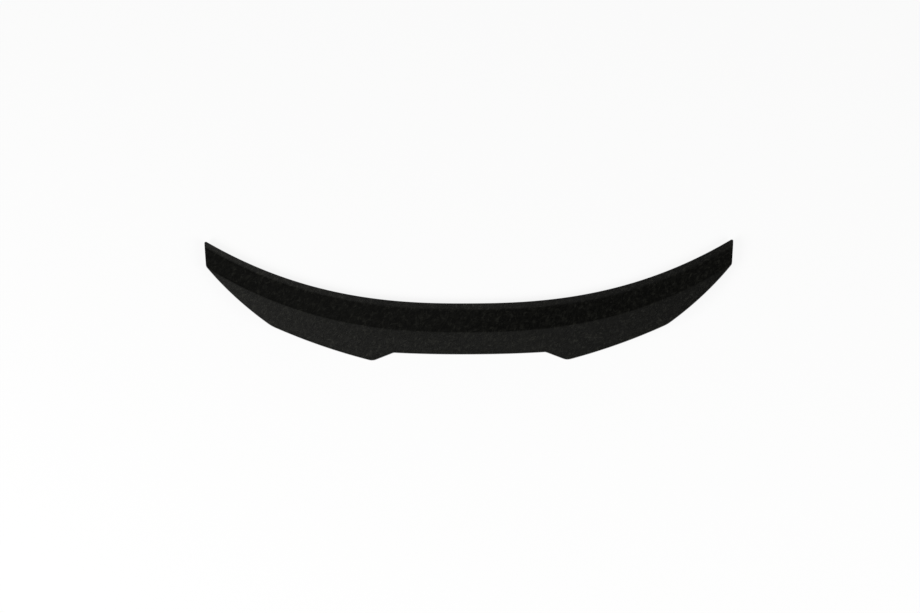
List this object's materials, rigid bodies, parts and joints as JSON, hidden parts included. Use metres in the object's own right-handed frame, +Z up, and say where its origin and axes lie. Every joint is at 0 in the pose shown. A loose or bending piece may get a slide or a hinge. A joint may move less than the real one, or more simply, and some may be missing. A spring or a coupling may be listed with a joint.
{
  "type": "car rear spoiler",
  "caption": "Boot-lid rear spoiler: a swept hollow shell with a level ramp, an upturned kick and a notched trailing lip, bonded to the lid by a flange round its open underside.",
  "frame": {"origin": "on the boot lid in the car's centre plane, in the middle of the rear part of the bonding flange", "axes": "+X across the car to its right, +Y towards the front of the car, +Z up"},
  "size_m": [1.3486, 0.3363, 0.0796],
  "materials": {
    "chopped_carbon": "chopped carbon fibre in epoxy under a gloss clear coat"
  },
  "bodies": {
    "root": {"spoiler_shell": "chopped_carbon"}
  },
  "joints": []
}
